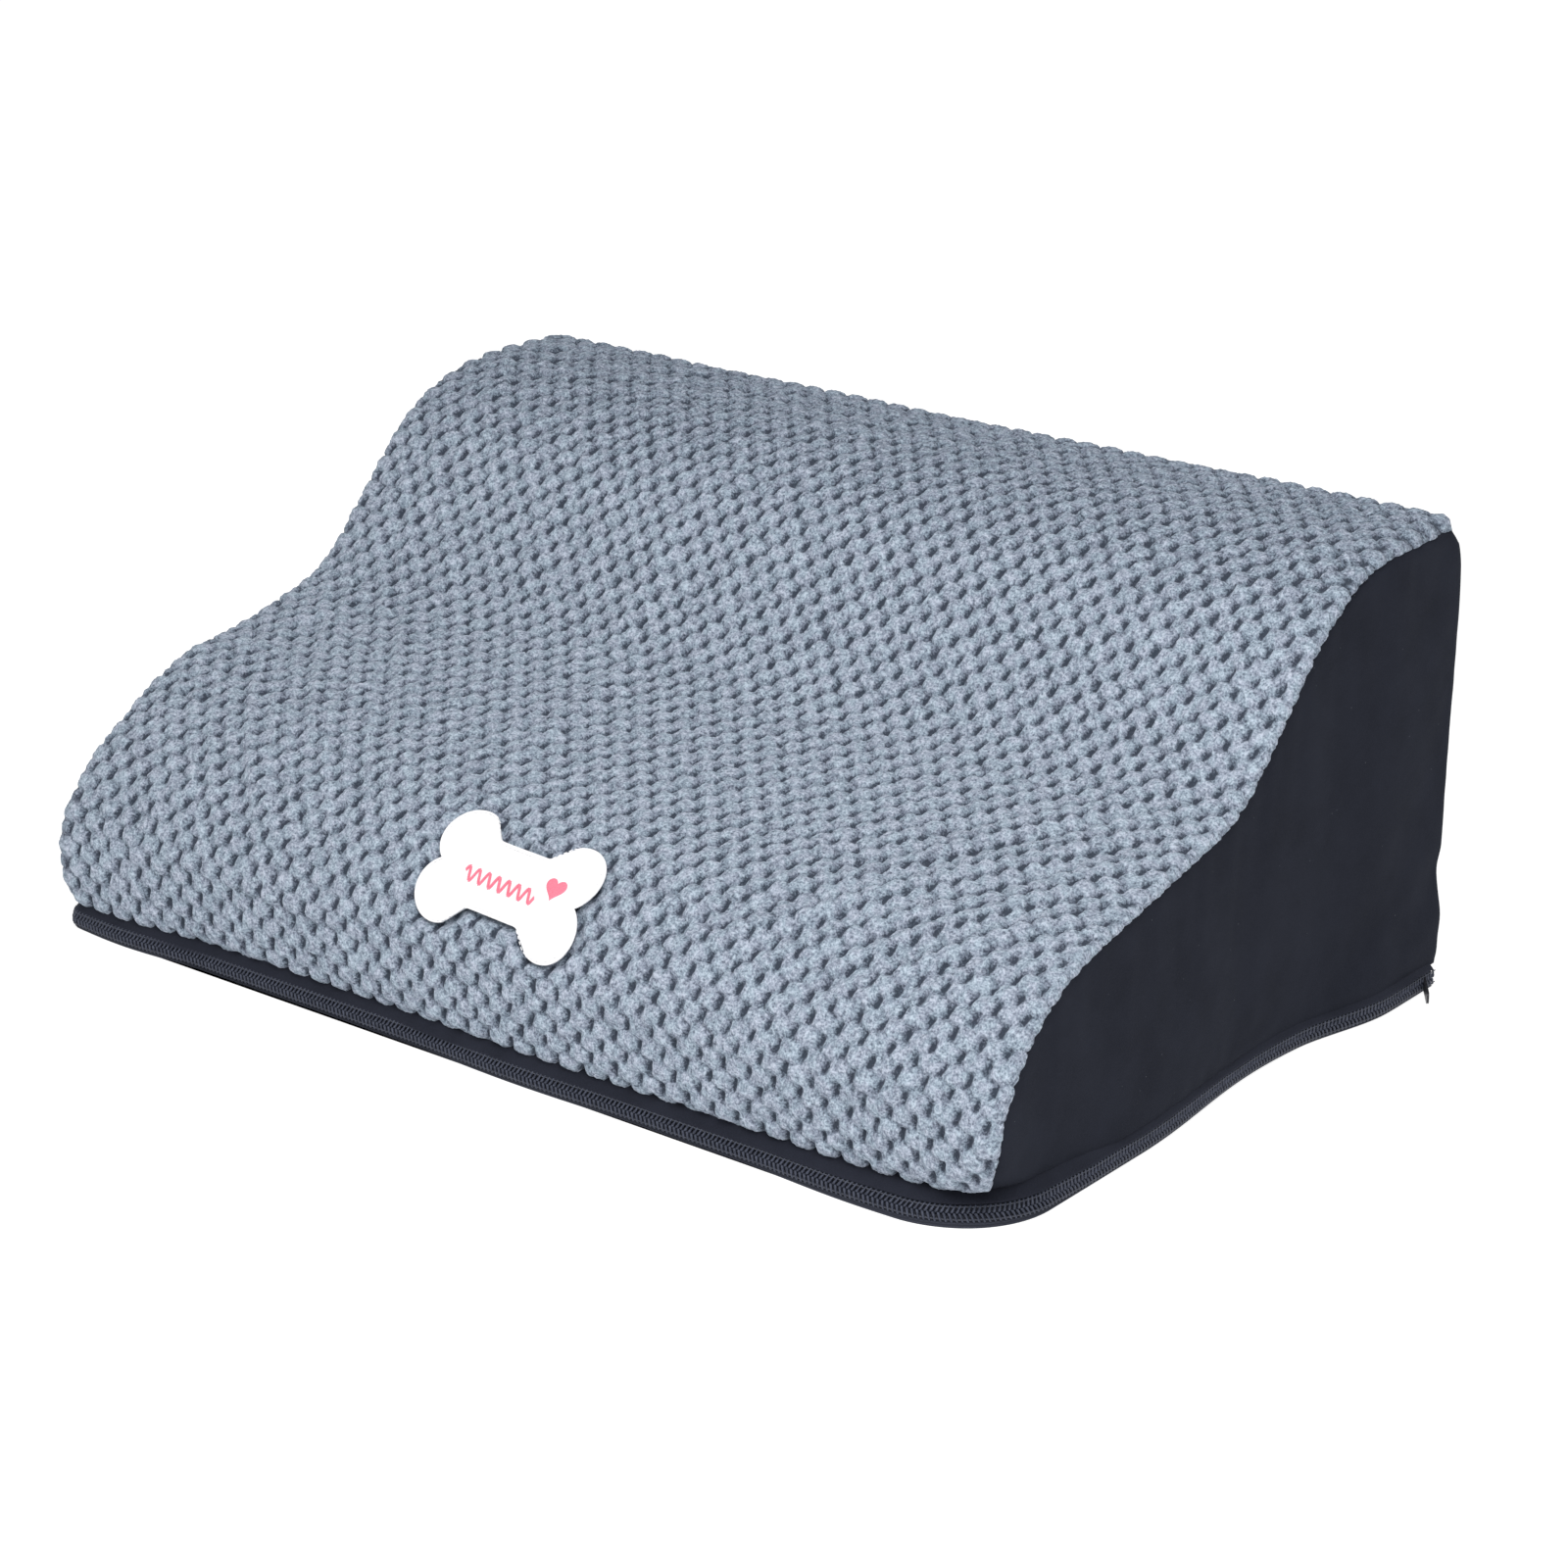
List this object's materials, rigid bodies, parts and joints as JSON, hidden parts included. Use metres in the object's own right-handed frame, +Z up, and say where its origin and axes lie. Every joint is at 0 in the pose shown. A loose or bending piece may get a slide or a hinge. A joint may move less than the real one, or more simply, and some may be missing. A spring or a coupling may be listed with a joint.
{
  "type": "dog ramp",
  "caption": "Low foam pet step with a wavy top in a zip-off cover: popcorn fleece top, plain dark sides and back, coil zipper round the base, bone-shaped label.",
  "frame": {"origin": "centre of the base on the floor", "axes": "+X to the right seen from the low front, along the long side; +Y towards the high back; +Z up"},
  "size_m": [0.6203, 0.4, 0.25],
  "materials": {
    "foam": "matte",
    "fleece": "fuzzy matte",
    "side_fabric": "matte",
    "band_fabric": "matte",
    "base_fabric": "matte",
    "label_fabric": "matte",
    "zipper_tape": "matte",
    "zipper_coil": "satin",
    "slider_metal": "satin"
  },
  "bodies": {
    "base": {"bottom_panel": "base_fabric", "zipper_tape_lower": "zipper_tape", "zipper_coil_lower": "zipper_coil"},
    "ramp": {"foam_core": "foam", "top_panel": "fleece", "side_panel_right": "side_fabric", "side_panel_left": "side_fabric", "back_panel": "side_fabric", "upper_band": "band_fabric", "zipper_tape_upper": "zipper_tape", "zipper_coil_upper": "zipper_coil", "bone_label": "label_fabric"},
    "slider": {"slider_body": "slider_metal", "slider_bridge": "slider_metal"},
    "pull": {"pull_tab": "slider_metal"}
  },
  "joints": [
    {"name": "cover_opening", "type": "hinge", "parent": "base", "child": "ramp", "pos_m": [0, 0.2002, 0], "axis": [-1, 0, 0], "range_deg": [0, 90]},
    {"name": "slider_travel", "type": "slide", "parent": "ramp", "child": "slider", "axis": [0, -1, 0], "range_m": [0, 0.33], "deforming": ["zipper_coil_upper", "zipper_coil_lower", "zipper_tape_upper", "zipper_tape_lower"]},
    {"name": "pull_swing", "type": "hinge", "parent": "slider", "child": "pull", "pos_m": [0.30135, 0.1912, 0.0056], "axis": [0, 0, 1], "range_deg": [-32, 140]}
  ]
}
